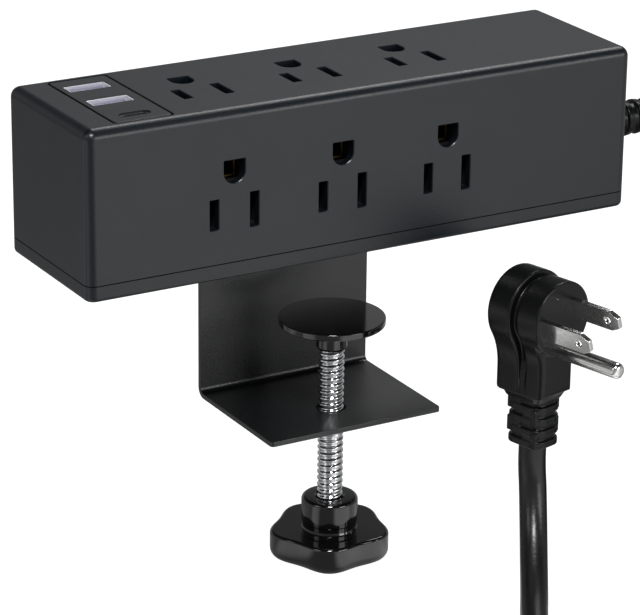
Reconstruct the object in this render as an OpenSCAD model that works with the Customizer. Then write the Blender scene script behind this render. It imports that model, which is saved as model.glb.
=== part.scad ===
/* [Strip] */
// Length of the strip, end to end
strip_len = 178.2; // [174:0.1:186]
// Depth of the strip, front face to back face
strip_depth = 50.3; // [50:0.1:54]
// Height of the strip
strip_height = 49.4; // [49:0.1:53]
// Height of the strip's underside above the knob's underside
strip_z = 102.3; // [100:0.1:110]
// Radius of the four upright edges
corner_r = 3; // [2:0.1:4]
// Radius of the top's edges
top_r = 2.6; // [1.5:0.1:3.5]
// Radius of the underside's edges
bottom_r = 1.5; // [0.8:0.1:2]
// Thickness of the housing's walls
wall = 2.4; // [2:0.1:2.6]
// Height of the bottom cover's visible edge
cover_h = 4.86; // [4.5:0.01:6]

/* [Outlets] */
// Outlets in each row
outlet_count = 3; // [1:1:3]
// Distance from one outlet to the next
outlet_pitch = 34.75; // [34:0.05:36]
// Place of the first outlet along the strip
outlet_x0 = -43.64; // [-44:0.01:-42]
// Height of the front row's blade slots above the underside
front_slot_h = 19.56; // [19:0.01:21]
// Distance of the top row's blade slots from the front face
top_slot_d = 19.42; // [19:0.01:20]

/* [USB panel] */
// Width of the panel along the strip
panel_w = 17.4; // [16.5:0.1:18]
// Length of the panel across the strip
panel_l = 41.9; // [40:0.1:42]
// Place of the panel's middle along the strip
panel_x = -69.5; // [-70:0.1:-69]

/* [Clamp] */
// Width of the bent steel bracket
bracket_w = 57.6; // [50:0.1:64]
// Thickness of the bracket's sheet
sheet = 1.6; // [1.2:0.1:2]
// Height of the lower plate's top face
plate_z = 47.4; // [46:0.1:50]
// Distance of the lower plate's front edge from the strip's front face
plate_front = 4.8; // [2:0.1:8]
// Distance of the screw's axis from the strip's front face
screw_d = 20.4; // [19:0.1:22]
// Radius of the screw over its crests
screw_r = 3.9; // [3.5:0.05:4]
// Radius of the pressure pad
pad_r = 15.95; // [14:0.05:18]
// Height of the pressure pad's top face
pad_z = 76.3; // [75:0.1:77]

/* [Knob] */
// Number of lobes
lobes = 5; // [4:1:6]
// Radius over the lobes' tips
knob_r = 18.4; // [17:0.1:19]
// Radius of the notches between the lobes
notch_r = 16.2; // [14:0.1:17]
// Radius of the boss
boss_r = 8.5; // [7.5:0.1:9.5]
// Height of the lobed disc
knob_h = 8.9; // [7:0.1:9]
// Height of the knob with its boss
knob_top = 18.8; // [17:0.1:19]

/* [Cord] */
// Diameter of the round cord
cord_d = 8.2; // [7.4:0.1:8.4]
// Number of sides of the cord's solid
cord_sides = 10; // [8:1:12]
// Width of the storage tie
tie_w = 12; // [8:1:16]

/* [Plug] */
// Spacing of the two flat blades
blade_pitch = 12.7; // [12.7]
// Distance from the blades to the round pin
pin_drop = 11.9; // [11.9]
// Angle that the blades are turned from the cord's direction
plug_clock = 17; // [0:1:45]

/* [Hidden] */

$fn = 64;
eps = 0.01;
gap = 0.15;

// Colours of the mouldings and metals
black = [0.17, 0.18, 0.19];
gloss_black = [0.05, 0.05, 0.06];
steel = [0.75, 0.76, 0.78];
brass = [0.75, 0.6, 0.3];
navy = [0.1, 0.14, 0.38];

// Places worked out from the driving sizes
front_y = -strip_depth / 2;
back_y = strip_depth / 2;
strip_top = strip_z + strip_height;
seam_z = strip_z + cover_h;
inner_x = strip_len / 2 - wall;
inner_y = strip_depth / 2 - wall;
inner_top = strip_top - wall;
floor_top = strip_z + wall;
outlet_xs = [for (i = [0:outlet_count - 1]) outlet_x0 + i * outlet_pitch];
front_slot_z = strip_z + front_slot_h;
top_slot_y = front_y + top_slot_d;
screw_y = front_y + screw_d;
flange_z = strip_z - sheet;

// Openings of one outlet: slot sizes, and the round-bottomed hole for the ground pin
slot_x = 6.35;
slot_w = 2.8;
hot_h = 8.8;
neutral_h = 10.2;
ground_up = 11.9;
ground_r = 3.35;

// Socket blocks and their spring contacts
block_x = [-57.5, 40];
pocket_w = 4.4;
leaf_t = 0.5;
blade_gap = 1.7;
pin_gap = 4.8;
strip_t = 0.8;
front_block_y = -11.6;
front_strip_y = -11.4;
top_block_z = 137.6;
top_strip_z = 136.6;

// USB ports: the middle of each, across the strip
usb_a_ys = [13.1, -1.3];
usb_a_x = -70;
usb_c_y = -15.6;
usb_c_x = -69.6;
usb_a_size = [12.6, 5.3];
usb_c_size = [9, 3.1];
port_wall = 0.35;
port_top = strip_top - 0.5;
board_z = 134;
board_t = 1.6;
ledge_z = strip_top - 1.4;

// Wire and cord places inside the strip
entry_y = 12;
entry_z = 116;
cord_r = cord_d / 2;
wire_r = 1.3;
clamp_x = 72;

// Plug, in its own frame: blades point along -Y and the cord leaves along -Z
plug_at = [38.2, -54.6, 0];
plug_turn = 14.4;
head_z = 88;
face_y = -10.6;
boss_face_r = 11.2;
cap_r = 12;
cap_y = [-1, 8.4];
groove_r = 10.2;
shoulder_z = 64;
grip_z = [47.6, 63.9];
blade_l = 15.9;
pin_l = 19.1;

// Coil: the middle radius of its turns, which lie three side by side in two layers
coil_at = [156, -50];
coil_r = 43;
turn_gap = 8.3;
coil_in = coil_r - turn_gap - cord_r;
coil_out = coil_r + turn_gap + cord_r;
coil_z = [0.9, 0.9 + turn_gap + 2 * cord_r];

// The cord from the strip's end down to the coil, by hand
run_route = [[125.1, 12, 116], [134, 12, 115.6], [143, 12, 113.4], [151.4, 12, 109], [158.6, 12, 102.8],
    [164.6, 12, 95.2], [169.6, 11.9, 86.3], [173.8, 11.4, 77], [177.4, 10.4, 67.2], [180.8, 8.8, 57.4],
    [184.2, 6.2, 47.6], [187.8, 2, 38.4], [191.8, -4, 30.2], [196, -12, 23.6], [200.4, -21.6, 18.6],
    [204.4, -32.2, 15.2], [206.9, -43.4, 13.4]];
// The cord from the coil up to the plug, by hand
rise_route = [[182.6, -93.9, 5], [172, -100.1, 4.6], [160, -106.2, 4.2], [147, -111.9, 4.1],
    [134, -116.9, 4.1], [121, -121.4, 4.1], [108, -125.5, 4.1], [95, -129.3, 4.1], [82, -132.8, 4.1],
    [69, -135.6, 4.1], [56, -137.2, 4.1], [43, -136.8, 4.1], [32.5, -132.9, 4.1], [23.5, -125.4, 4.1],
    [17.6, -115.2, 4.1], [15.5, -103.5, 4.1], [17, -93.2, 4.4], [21.3, -84.8, 6], [27, -75.8, 10],
    [32, -67.6, 16.4], [35.8, -61.1, 24.4], [38, -56.9, 33.4], [38.5, -55.3, 40.4], [38.5, -55.2, 47.5]];

// A rectangle with four round corners
module round_rect(w, d, r) {
    square([w - 2 * r, d], center = true);
    square([w, d - 2 * r], center = true);
    for (x = [-1, 1], y = [-1, 1]) translate([x * (w / 2 - r), y * (d / 2 - r)]) circle(r = r);
}

// A rectangle standing on the axis, with its own top and bottom corner radii
module standing_rect(w, h, rt, rb) {
    translate([0, h / 2]) square([w, h - 2 * max(rt, rb)], center = true);
    translate([-w / 2 + rb, 0]) square([w - 2 * rb, h / 2]);
    translate([-w / 2 + rt, h / 2]) square([w - 2 * rt, h / 2]);
    for (s = [-1, 1]) {
        translate([s * (w / 2 - rb), rb]) circle(r = rb);
        translate([s * (w / 2 - rt), h - rt]) circle(r = rt);
    }
}

module upright_box(x, y, z) {
    translate([x[0], y[0], z[0]]) cube([x[1] - x[0], y[1] - y[0], z[1] - z[0]]);
}

// The strip's whole outer form
module strip_form() {
    translate([0, 0, strip_z]) intersection() {
        linear_extrude(strip_height) round_rect(strip_len, strip_depth, corner_r);
        rotate([90, 0, 0]) linear_extrude(strip_depth + 2, center = true)
            standing_rect(strip_len, strip_height, top_r, bottom_r);
        rotate([90, 0, 90]) linear_extrude(strip_len + 2, center = true)
            standing_rect(strip_depth, strip_height, top_r, bottom_r);
    }
}

// The three openings of an outlet, in its face's plane
module outlet_outline() {
    translate([-slot_x, 0]) square([slot_w, hot_h], center = true);
    translate([slot_x, 0]) square([slot_w, neutral_h], center = true);
    translate([0, ground_up]) {
        circle(r = ground_r);
        translate([-ground_r, 0]) square([2 * ground_r, ground_r]);
    }
}

// The roomier pockets behind an outlet, in its face's plane
module pocket_outline() {
    for (s = [-1, 1]) translate([s * slot_x, 0]) square([pocket_w, 11], center = true);
    translate([0, ground_up]) square([7.2, 7.2], center = true);
}

// Puts a face outline at each outlet of the front row, from depth y0 back to y1
module in_front_row(y0, y1) {
    for (x = outlet_xs) translate([x, y1, front_slot_z]) rotate([90, 0, 0])
        linear_extrude(y1 - y0) children();
}

// Puts a face outline at each outlet of the top row, from height z0 up to z1
module in_top_row(z0, z1) {
    for (x = outlet_xs) translate([x, top_slot_y, z0]) linear_extrude(z1 - z0) children();
}

usb_post_xs = [-76.5, -61];
boss_places = [for (x = [-1, 1], y = [-1, 1]) [x * (inner_x - 4.2), y * (inner_y - 4.2)]];

module housing_shell() {
    color(black) difference() {
        union() {
            difference() {
                intersection() {
                    strip_form();
                    upright_box([-100, 100], [-40, 40], [seam_z + gap, strip_top + 1]);
                }
                upright_box([-inner_x, inner_x], [-inner_y, inner_y], [strip_z, inner_top]);
            }
            // screw posts in the corners
            for (p = boss_places) translate([p[0], p[1], seam_z + 1]) cylinder(h = inner_top - seam_z, r = 3.2);
        }
        in_front_row(front_y - 1, front_y + wall + 1) outlet_outline();
        in_top_row(inner_top - 1, strip_top + 1) outlet_outline();
        // recess and window for the USB panel
        translate([panel_x, 0, ledge_z]) linear_extrude(5)
            round_rect(panel_w + 0.6, panel_l + 0.6, 1.2);
        translate([panel_x, 0, inner_top - 1]) linear_extrude(5)
            round_rect(panel_w - 3, panel_l - 2.6, 1);
        // cord entry
        translate([inner_x - 1, entry_y, entry_z]) rotate([0, 90, 0]) cylinder(h = wall + 2, r = 6);
        translate([inner_x - 10, entry_y, entry_z]) rotate([0, 90, 0]) cylinder(h = 10, r = cord_r + 0.2);
        for (p = boss_places) translate([p[0], p[1], seam_z]) cylinder(h = 14, r = 1.5);
    }
}

module bottom_cover() {
    rim = 1.6;
    color(black) difference() {
        union() {
            intersection() {
                strip_form();
                upright_box([-100, 100], [-40, 40], [strip_z - 1, seam_z - gap]);
            }
            // rim that locates inside the housing
            upright_box([-inner_x + 0.1, inner_x - 0.1], [-inner_y + 0.1, inner_y - 0.1],
                [seam_z - 1, seam_z + 0.8]);
        }
        upright_box([-inner_x + rim, inner_x - rim], [-inner_y + rim, inner_y - rim],
            [floor_top, seam_z + 5]);
        for (p = boss_places) translate([p[0], p[1], strip_z - 1]) {
            cylinder(h = 20, r = 1.8);
            cylinder(h = 2.6, r = 3.1);
        }
        for (p = flange_holes) translate([p[0], p[1], strip_z - 1]) cylinder(h = 3, r = 1.5);
        translate([0, 0, seam_z + 0.8]) for (p = boss_places) translate(p) cylinder(h = 2, r = 3.4);
    }
    color(black) {
        // posts under the USB board, and the two posts of the cord clamp
        for (x = usb_post_xs, y = [-17.5, 17.5]) translate([x, y, floor_top - eps])
            cylinder(h = board_z - floor_top + eps, r = 2);
        difference() {
            for (y = [-1, 1]) translate([clamp_x, entry_y + y * 8, 0])
                upright_box([-4, 4], [-2.6, 2.6], [floor_top - eps, entry_z - 0.6]);
            for (y = [-1, 1]) translate([clamp_x, entry_y + y * 8, entry_z - 9]) cylinder(h = 10, r = 1.2);
        }
        upright_box([clamp_x - 4, clamp_x + 4], [entry_y - 5.5, entry_y + 5.5],
            [floor_top - eps, entry_z - cord_r - 0.05]);
    }
}

module usb_faceplate() {
    color(black) difference() {
        translate([panel_x, 0, ledge_z]) linear_extrude(strip_top - ledge_z) round_rect(panel_w, panel_l, 1);
        for (y = usb_a_ys) translate([usb_a_x, y, strip_top])
            cube([usb_a_size[0] + 0.3, usb_a_size[1] + 0.3, 5], center = true);
        translate([usb_c_x, usb_c_y, strip_top - 3]) linear_extrude(5)
            round_rect(usb_c_size[0] + 0.3, usb_c_size[1] + 0.3, 1.6);
    }
}

module usb_a_shells() {
    color(steel) for (y = usb_a_ys) translate([usb_a_x, y, 0]) difference() {
        translate([0, 0, board_z + board_t]) linear_extrude(port_top - board_z - board_t)
            square(usb_a_size, center = true);
        translate([0, 0, board_z + board_t + 1]) linear_extrude(30)
            square([usb_a_size[0] - 2 * port_wall, usb_a_size[1] - 2 * port_wall], center = true);
    }
}

module usb_a_tongues() {
    color(navy) for (y = usb_a_ys) translate([usb_a_x, y, 0])
        upright_box([-5.4, 5.4], [-0.4, 1.5], [board_z + board_t + 1, port_top - 1]);
}

module usb_c_shell() {
    color(steel) translate([usb_c_x, usb_c_y, 0]) difference() {
        translate([0, 0, board_z + board_t]) linear_extrude(port_top - board_z - board_t)
            round_rect(usb_c_size[0], usb_c_size[1], 1.5);
        translate([0, 0, board_z + board_t + 1]) linear_extrude(30)
            round_rect(usb_c_size[0] - 2 * port_wall, usb_c_size[1] - 2 * port_wall, 1.15);
    }
}

module usb_c_tongue() {
    color(gloss_black) translate([usb_c_x, usb_c_y, 0])
        upright_box([-3.2, 3.2], [-0.35, 0.35], [board_z + board_t + 1, port_top - 1]);
}

module usb_circuit_board() {
    color("darkgreen") upright_box([-78.8, -58.5], [-20, 20], [board_z, board_z + board_t]);
}

module usb_transformer() {
    color("goldenrod") upright_box([-78, -62], [-8, 6], [board_z - 15, board_z]);
}

module usb_capacitors() {
    color("dimgray") for (y = [-14, 11.5]) translate([-70, y, board_z - 14]) cylinder(h = 14, r = 4);
}

module front_socket_block() {
    color("dimgray") difference() {
        upright_box(block_x, [-inner_y, front_block_y], [113.2, 137.8]);
        in_front_row(-inner_y - 1, front_block_y + 1) pocket_outline();
    }
}

module top_socket_block() {
    color("dimgray") difference() {
        upright_box(block_x, [-10.4, 11.6], [top_block_z, inner_top]);
        in_top_row(top_block_z - 1, inner_top + 1) {
            pocket_outline();
            translate([0, ground_up]) square([7.2, 7.2], center = true);
        }
        upright_box([block_x[0] - 1, block_x[1] + 1], [-1.4, 0.1], [top_block_z - 1, 143.6]);
    }
}

// A pair of leaves joined by a web on one side, in its face's plane
module contact_outline(inside, h, side) {
    for (s = [-1, 1]) translate([s * (inside + leaf_t) / 2, 0]) square([leaf_t, h], center = true);
    translate([0, side * (h + leaf_t) / 2]) square([inside + 2 * leaf_t, leaf_t + 2 * eps], center = true);
}

// The contacts of the front row for one conductor, joined by a strip behind the block
module front_contacts(dx, dz, inside, h, side, strip_z0, strip_z1) {
    for (x = outlet_xs) translate([x + dx, front_strip_y + strip_t, front_slot_z + dz])
        rotate([90, 0, 0]) linear_extrude(9) contact_outline(inside, h, side);
    upright_box([outlet_xs[0] + dx - 3, 44], [front_strip_y, front_strip_y + strip_t], [strip_z0, strip_z1]);
}

front_web_low = front_slot_z - 4 - leaf_t;
front_web_high = front_slot_z + 4 + leaf_t;
ground_web_low = front_slot_z + ground_up - 2.6 - leaf_t;

module front_line_contacts() {
    color(brass) front_contacts(-slot_x, 0, blade_gap, 8, -1, front_web_low - 3.2, front_web_low + 0.1);
}

module front_neutral_contacts() {
    color(brass) front_contacts(slot_x, 0, blade_gap, 8, 1, front_web_high - 0.1, front_web_high + 1.9);
}

module front_ground_contacts() {
    color(brass) front_contacts(0, ground_up, pin_gap, 5.2, -1, ground_web_low - 1.4, ground_web_low + 0.1);
}

module top_line_contacts() {
    color(brass) {
        for (x = outlet_xs) translate([x - slot_x, top_slot_y + 0.2, top_strip_z]) linear_extrude(10)
            for (s = [-1, 1]) translate([s * (blade_gap + leaf_t) / 2, 0]) square([leaf_t, 8.2], center = true);
        upright_box([outlet_xs[0] - slot_x - 3, 44], [-1.5, 0.8], [top_strip_z - strip_t + eps, top_strip_z + eps]);
    }
}

module top_neutral_contacts() {
    color(brass) {
        for (x = outlet_xs) translate([x + slot_x, top_slot_y + 0.4, 138.4]) linear_extrude(8)
            for (s = [-1, 1]) translate([s * (blade_gap + leaf_t) / 2, 0]) square([leaf_t, 8.6], center = true);
        upright_box([outlet_xs[0] + slot_x - 3, 44], [-1.1, -0.3], [139.5, 143.3]);
    }
}

module top_ground_contacts() {
    color(brass) {
        for (x = outlet_xs) translate([x, top_slot_y + ground_up, top_strip_z]) linear_extrude(10)
            for (s = [-1, 1]) translate([s * (pin_gap + leaf_t) / 2, 0]) square([leaf_t, 5.6], center = true);
        upright_box([outlet_xs[0] - 3, 44], [8.75, 11.2], [top_strip_z - strip_t, top_strip_z + eps]);
    }
}

// A wire along a few points, from the cord's end to a contact strip
module wire(points) {
    last = len(points) - 1;
    tube(points, wire_r, unit(points[1] - points[0]), unit(points[last] - points[last - 1]), [0, 1, 0]);
}

module line_wire() {
    color("black") wire([[60.9, 9.4, 115.4], [55, 8.6, 114.8], [51, 4, 114], [49, -3, 113.4], [47, -9, 113.2], [44.2, -11, 113.4]]);
}

module neutral_wire() {
    color("white") wire([[60.9, 12, 117.8], [56, 11.4, 121], [52, 6, 125], [49, -4, 127.2], [47, -9, 127.4], [44.2, -11, 127.4]]);
}

module ground_wire() {
    color("green") wire([[60.9, 14.6, 115.4], [56, 16, 119], [52, 15.6, 126], [49, 12.4, 133], [47, 10.6, 135.6], [44.2, 10, 136]]);
}

module cord_inner_end() {
    color(black) translate([61, entry_y, entry_z]) rotate([0, 90, 0]) cylinder(h = inner_x - 3 - 61, r = cord_r);
}

module cord_clamp() {
    color("dimgray") difference() {
        upright_box([clamp_x - 4, clamp_x + 4], [entry_y - 10.6, entry_y + 10.6],
            [entry_z - 0.6, entry_z + cord_r + 2.4]);
        translate([clamp_x - 5, entry_y, entry_z]) rotate([0, 90, 0]) cylinder(h = 10, r = cord_r + 0.02);
        for (y = [-1, 1]) translate([clamp_x, entry_y + y * 8, entry_z - 5]) cylinder(h = 20, r = 1.6);
    }
}

// A screw standing head up, its head's underside at the origin
module pan_screw(shank_r, shank_l, head_r, head_h) {
    translate([0, 0, -shank_l]) cylinder(h = shank_l + eps, r = shank_r);
    difference() {
        cylinder(h = head_h, r = head_r);
        translate([0, 0, head_h]) for (a = [0, 90]) rotate([0, 0, a])
            cube([head_r * 1.2, 0.7, 1.4], center = true);
    }
}

module cord_clamp_screws() {
    color(steel) for (y = [-1, 1]) translate([clamp_x, entry_y + y * 8, entry_z + cord_r + 2.4])
        pan_screw(1.2, 13, 2.3, 1.6);
}

module cover_screws() {
    color(steel) for (p = boss_places) translate([p[0], p[1], strip_z + 1.6]) mirror([0, 0, 1])
        pan_screw(1.5, 12, 2.8, 1.4);
}

flange_holes = [for (x = [-20, 20], y = [-12, 14]) [x, y]];
bend_r = 2.6;

// The bracket's section: a C of sheet with round bends, open to the front
module bracket_section() {
    y0 = front_y + plate_front;
    z0 = plate_z - sheet;
    difference() {
        translate([0, z0]) {
            translate([-18, strip_z - z0 - sheet]) square([back_y - bend_r + 18, sheet]);
            translate([y0, 0]) square([back_y - bend_r - y0, sheet]);
            translate([back_y - sheet, bend_r]) square([sheet, strip_z - z0 - 2 * bend_r]);
            for (z = [bend_r, strip_z - z0 - bend_r]) translate([back_y - bend_r, z]) circle(r = bend_r);
        }
        translate([0, z0]) {
            translate([y0 - 1, sheet]) square([back_y - bend_r - y0 + 1, strip_z - z0 - 2 * sheet]);
            translate([back_y - bend_r - eps, bend_r])
                square([bend_r - sheet + eps, strip_z - z0 - 2 * bend_r]);
            for (z = [bend_r, strip_z - z0 - bend_r])
                translate([back_y - bend_r, z]) circle(r = bend_r - sheet);
        }
    }
}

module clamp_bracket() {
    color(black) difference() {
        rotate([90, 0, 90]) linear_extrude(bracket_w, center = true) bracket_section();
        translate([0, screw_y, plate_z - sheet - 1]) cylinder(h = sheet + 2, r = screw_r + 0.6);
        for (p = flange_holes) translate([p[0], p[1], flange_z]) {
            translate([0, 0, -eps]) cylinder(h = 1.4, r1 = 3, r2 = 1.8);
            cylinder(h = sheet + 1, r = 1.8);
        }
    }
}

module bracket_screws() {
    color(steel) for (p = flange_holes) translate([p[0], p[1], flange_z + 0.1]) {
        cylinder(h = 1.2, r1 = 2.8, r2 = 1.5);
        cylinder(h = 4.6, r = 1.5);
    }
}

nut_h = 4.4;

module weld_nut() {
    color(steel) difference() {
        union() {
            translate([0, screw_y, plate_z - sheet - nut_h]) cylinder(h = nut_h, r = 6.4);
            translate([0, screw_y, plate_z - sheet - 1.2]) cylinder(h = 1.2, r = 9);
        }
        translate([0, screw_y, plate_z - 10]) cylinder(h = 12, r = screw_r + 0.05);
    }
}

hub_z = pad_z - 10;
disc_t = 2.4;
neck_r = 2.5;

module pressure_pad() {
    color(gloss_black) translate([0, screw_y, pad_z - disc_t]) difference() {
        cylinder(h = disc_t, r = pad_r);
        translate([0, 0, -1]) cylinder(h = 2.5, r = 3.7);
    }
}

module pad_hub() {
    color(gloss_black) translate([0, screw_y, hub_z]) difference() {
        cylinder(h = pad_z - disc_t - hub_z, r = 4.6);
        translate([0, 0, -1]) cylinder(h = 12, r = neck_r + 0.06);
    }
}

module clamp_screw() {
    color(steel) translate([0, screw_y, 0]) {
        translate([0, 0, 10]) cylinder(h = hub_z - 0.1 - 10, r = screw_r);
        translate([0, 0, hub_z - 1]) cylinder(h = pad_z - disc_t + 0.1 - hub_z + 1, r = neck_r);
    }
}

module screw_tip_head() {
    color(steel) translate([0, screw_y, pad_z - disc_t + 0.1]) cylinder(h = 1.2, r = 3.4);
}

module lobed_outline() {
    lobe_r = 7.5;
    circle(r = notch_r);
    for (i = [0:lobes - 1]) rotate(i * 360 / lobes - 120) translate([knob_r - lobe_r, 0]) circle(r = lobe_r);
}

module clamp_knob() {
    rim = 1;
    color(gloss_black) translate([0, screw_y, 0]) difference() {
        union() {
            linear_extrude(knob_h) lobed_outline();
            translate([0, 0, knob_h - eps]) cylinder(h = knob_top - rim - knob_h + eps, r = boss_r);
            translate([0, 0, knob_top - rim]) cylinder(h = rim, r1 = boss_r, r2 = boss_r - rim);
        }
        translate([0, 0, 10]) cylinder(h = 20, r = screw_r);
    }
}

relief_len = 36;

module cord_strain_relief() {
    outer_x = strip_len / 2;
    color(gloss_black) translate([0, entry_y, entry_z]) rotate([0, 90, 0]) {
        translate([0, 0, inner_x - 2]) cylinder(h = 2, r = 7.6);
        translate([0, 0, inner_x - eps]) cylinder(h = wall + 1, r = 5.9);
        translate([0, 0, outer_x]) cylinder(h = 2, r = 7.6);
        translate([0, 0, outer_x + 2 - eps]) cylinder(h = relief_len - 2, r1 = 6.8, r2 = cord_r + 0.8);
    }
}

// Unit vectors across a direction, the first kept level
function unit(v) = v / norm(v);
function ring(c, dir, r, lean) = let(s = abs(dir[2]) > 0.99 ? lean : unit(cross([0, 0, 1], dir)), u = cross(dir, s))
    [for (k = [0:cord_sides - 1]) let(a = 360 * k / cord_sides) c + r * (cos(a) * s + sin(a) * u)];
function route_dir(p, i) = unit(p[min(i + 1, len(p) - 1)] - p[max(i - 1, 0)]);

// A closed tube along a route, whose first and last faces lie square to start and finish
module tube(p, r, start, finish, lean) {
    n = len(p);
    m = cord_sides;
    rings = [for (i = [0:n - 1]) ring(p[i], i == 0 ? start : i == n - 1 ? finish : route_dir(p, i), r, lean)];
    points = [for (g = rings, q = g) q];
    faces = concat([[for (k = [0:m - 1]) k]], [[for (k = [m - 1:-1:0]) (n - 1) * m + k]],
        [for (i = [0:n - 2], k = [0:m - 1]) let(a = i * m + k, b = i * m + (k + 1) % m, c = b + m, d = a + m)
            each [[a, d, c], [a, c, b]]]);
    polyhedron(points = points, faces = faces);
}

module cord_run() {
    color(black) tube(run_route, cord_r, [1, 0, 0], unit([0.13, -1, -0.1]), [0, 1, 0]);
}

module cord_coil() {
    color(black) translate([coil_at[0], coil_at[1], 0]) rotate_extrude($fn = 96)
        translate([(coil_in + coil_out) / 2, (coil_z[0] + coil_z[1]) / 2])
            round_rect(coil_out - coil_in, coil_z[1] - coil_z[0], 4);
}

module cord_rise() {
    lean = unit(cross([0, 0, 1], [0.5, 0.87, 0]));
    color(black) tube(rise_route, cord_r, unit([-0.855, -0.518, 0]), [0, 0, 1], lean);
}

module cord_tie() {
    strap = 0.7;
    slack = 0.1;
    w = coil_out - coil_in + 2 * slack;
    h = coil_z[1] - coil_z[0] + 2 * slack;
    turn = tie_w / coil_r * 180 / PI;
    color(gloss_black) translate([coil_at[0], coil_at[1], 0]) rotate(100)
        rotate_extrude(angle = turn, $fn = 96)
            translate([(coil_in + coil_out) / 2, (coil_z[0] + coil_z[1]) / 2]) difference() {
                round_rect(w + 2 * strap, h + 2 * strap, 4.4);
                round_rect(w, h, 3.9);
            }
}

module at_plug() {
    translate(plug_at) rotate(plug_turn) children();
}

// A disc of the plug's head, between two depths
module head_disc(y0, y1, r) {
    translate([0, y1, head_z]) rotate([90, 0, 0]) cylinder(h = y1 - y0, r = r);
}

blade_turn = [0, -plug_clock, 0];

module plug_body() {
    color(gloss_black) at_plug() difference() {
        union() {
            head_disc(face_y, -2.4, boss_face_r);
            head_disc(-2.5, cap_y[0] + 0.1, groove_r);
            head_disc(cap_y[0], cap_y[1] - 1.2, cap_r);
            translate([0, cap_y[1], head_z]) rotate([90, 0, 0]) cylinder(h = 1.25, r1 = cap_r - 1.2, r2 = cap_r);
            // neck down to the shoulders, with rounded upright edges
            translate([0, -0.85, shoulder_z]) linear_extrude(head_z - shoulder_z) round_rect(14, 18, 2);
            for (s = [-1, 1]) translate([s * 7, -0.85, head_z - 14]) linear_extrude(10) round_rect(6, 15, 2);
        }
        translate([0, face_y + 7, head_z]) rotate(blade_turn) {
            for (s = [-1, 1]) translate([s * blade_pitch / 2, -4, 0]) cube([1.5, 10, 6.4], center = true);
            translate([0, 1, -pin_drop]) rotate([90, 0, 0]) cylinder(h = 20, r = 2.38);
        }
    }
}

module plug_strain_relief() {
    color(gloss_black) at_plug() translate([0, -0.7, 0]) difference() {
        translate([0, 0, grip_z[0]]) linear_extrude(shoulder_z - grip_z[0]) round_rect(10.4, 12.6, 2.4);
        for (i = [0:2]) translate([0, 0, grip_z[0] + 3.4 + i * 4.2]) for (s = [-1, 1])
            translate([s * (i % 2 == 0 ? 5 : 0), (i % 2 == 0 ? 0 : s * 6), 0])
                cube([i % 2 == 0 ? 2.4 : 6.4, i % 2 == 0 ? 7.6 : 2.4, 1.6], center = true);
    }
}

module plug_blades() {
    tip = 3;
    color(steel) at_plug() translate([0, face_y + 7, head_z]) rotate(blade_turn)
        for (s = [-1, 1]) translate([s * blade_pitch / 2, 0, 0]) difference() {
            rotate([90, 0, 90]) linear_extrude(1.5, center = true) polygon([[1, -3.2], [-7 - blade_l + tip, -3.2],
                [-7 - blade_l, -1.6], [-7 - blade_l, 1.6], [-7 - blade_l + tip, 3.2], [1, 3.2]]);
            translate([0, -7 - 11.7, 0]) rotate([0, 90, 0]) cylinder(h = 4, r = 1.6, center = true);
        }
}

module plug_ground_pin() {
    round_end = 2.2;
    color(steel) at_plug() translate([0, face_y + 7, head_z]) rotate(blade_turn) translate([0, 0, -pin_drop])
        rotate([90, 0, 0]) translate([0, 0, -1]) {
            cylinder(h = 8 + pin_l - round_end, r = 2.38);
            translate([0, 0, 8 + pin_l - round_end]) cylinder(h = round_end, r1 = 2.38, r2 = 1.2);
        }
}

housing_shell();
bottom_cover();
usb_faceplate();
usb_a_shells();
usb_a_tongues();
usb_c_shell();
usb_c_tongue();
usb_circuit_board();
usb_transformer();
usb_capacitors();
front_socket_block();
top_socket_block();
front_line_contacts();
front_neutral_contacts();
front_ground_contacts();
top_line_contacts();
top_neutral_contacts();
top_ground_contacts();
line_wire();
neutral_wire();
ground_wire();
cord_inner_end();
cord_clamp();
cord_clamp_screws();
cover_screws();
clamp_bracket();
bracket_screws();
weld_nut();
pressure_pad();
pad_hub();
clamp_screw();
screw_tip_head();
clamp_knob();
cord_strain_relief();
cord_run();
cord_coil();
cord_rise();
cord_tie();
plug_body();
plug_strain_relief();
plug_blades();
plug_ground_pin();
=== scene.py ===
"""Desk power strip on a screw clamp: mouldings, metalwork, cord and plug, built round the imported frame."""

import math

import bmesh
import bpy
from bpy.props import FloatProperty, FloatVectorProperty, IntProperty, PointerProperty
from mathutils import Matrix, Vector


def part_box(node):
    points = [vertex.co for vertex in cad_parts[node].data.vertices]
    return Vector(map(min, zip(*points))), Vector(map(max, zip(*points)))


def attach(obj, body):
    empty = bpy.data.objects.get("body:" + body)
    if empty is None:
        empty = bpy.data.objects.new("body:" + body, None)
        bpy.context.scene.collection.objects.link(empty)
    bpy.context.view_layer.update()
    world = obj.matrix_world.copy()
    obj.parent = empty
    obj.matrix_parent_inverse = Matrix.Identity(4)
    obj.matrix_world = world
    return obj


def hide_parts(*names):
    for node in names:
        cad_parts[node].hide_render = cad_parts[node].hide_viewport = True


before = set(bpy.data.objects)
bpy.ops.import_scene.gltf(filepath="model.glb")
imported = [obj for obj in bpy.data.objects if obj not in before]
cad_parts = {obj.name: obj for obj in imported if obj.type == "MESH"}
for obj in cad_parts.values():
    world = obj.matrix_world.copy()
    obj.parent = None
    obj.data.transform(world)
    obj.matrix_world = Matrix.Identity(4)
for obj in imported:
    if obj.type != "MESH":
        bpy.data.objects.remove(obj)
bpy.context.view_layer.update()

bl_info = {
    "name": "Desk Power Strip",
    "version": (1, 0, 0),
    "blender": (4, 5, 0),
    "location": "View3D > Sidebar > Power Strip",
    "description": "Builds a clamp-on desk power strip with its cord and plug",
    "category": "Add Mesh",
}

MM = 0.001


def cad_box(node):
    """A CAD node's lowest and highest corners, in millimetres."""
    low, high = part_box(node)
    return Vector(low) / MM, Vector(high) / MM


# ---------------------------------------------------------------- places taken from the frame

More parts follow.
